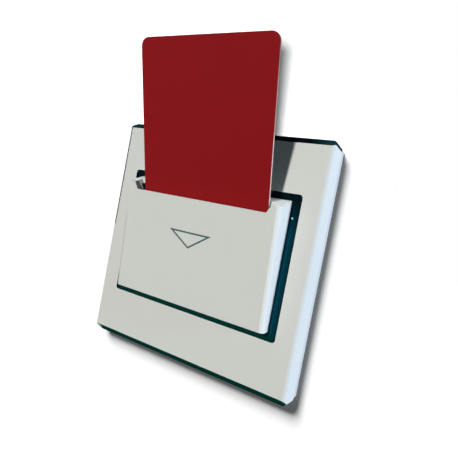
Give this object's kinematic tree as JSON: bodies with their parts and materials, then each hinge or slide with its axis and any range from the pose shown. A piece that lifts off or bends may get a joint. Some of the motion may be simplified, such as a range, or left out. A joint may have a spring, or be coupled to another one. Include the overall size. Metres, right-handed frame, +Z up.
{
  "type": "hotel key card switch",
  "caption": "Wall key card switch: bevelled square plate with a wedge pocket, a red card leaning out of its slanted slot, and a lever and microswitch in the box behind.",
  "frame": {"origin": "centre of the wall box fixings on the wall plane, in the middle of the plate", "axes": "+Z up, front of the plate towards -Y, +X to the right seen from the room"},
  "size_m": [0.0928, 0.058, 0.119],
  "materials": {
    "front_frame": "gloss silver-grey",
    "inner_bezel": "gloss dark teal",
    "pocket_cover": "satin silver-grey",
    "card_guide": "matt",
    "key_card": "gloss red",
    "indicator_led": "clear",
    "mounting_yoke": "zinc plated",
    "screws": "zinc plated",
    "housing": "matt",
    "lever": "matt",
    "lever_pin": "ground",
    "lever_spring": "drawn wire",
    "microswitch_case": "matt",
    "microswitch_plunger": "matt",
    "circuit_board": "solder mask",
    "relay": "matt",
    "film_capacitor": "matt",
    "electrolytic_capacitor": "sleeved",
    "varistor": "dipped",
    "terminal_block": "matt",
    "brass": "bright"
  },
  "bodies": {
    "base": {"front_frame": "front_frame", "inner_bezel": "inner_bezel", "pocket_cover": "pocket_cover", "card_guide": "card_guide", "indicator_led": "indicator_led", "mounting_yoke": "mounting_yoke", "bezel_screws": "screws", "housing": "housing", "housing_screws": "screws", "rear_cover": "housing", "lever_pin": "lever_pin", "lever_spring": "lever_spring", "microswitch_case": "microswitch_case", "microswitch_tabs": "brass", "circuit_board": "circuit_board", "relay": "relay", "film_capacitor": "film_capacitor", "electrolytic_capacitor": "electrolytic_capacitor", "varistor": "varistor", "terminal_block": "terminal_block", "terminal_clamps": "brass", "terminal_screws": "screws"},
    "card": {"key_card": "key_card"},
    "lever": {"lever": "lever"},
    "plunger": {"microswitch_plunger": "microswitch_plunger"}
  },
  "joints": [
    {"name": "card_slide", "type": "slide", "parent": "base", "child": "card", "axis": [0, -0.314, 0.9494], "range_m": [0, 0.036]},
    {"name": "lever_swing", "type": "hinge", "parent": "base", "child": "lever", "pos_m": [0, 0.014, -0.0095], "axis": [-1, 0, 0], "range_deg": [0, 12]},
    {"name": "plunger_slide", "type": "slide", "parent": "base", "child": "plunger", "axis": [0, 0, 1], "range_m": [0, 0.0012]}
  ],
  "couplings": [
    {"joint": "lever_swing", "follows": "card_slide", "rad_per_m": 5.8},
    {"joint": "plunger_slide", "follows": "card_slide", "ratio": 0.0333}
  ]
}
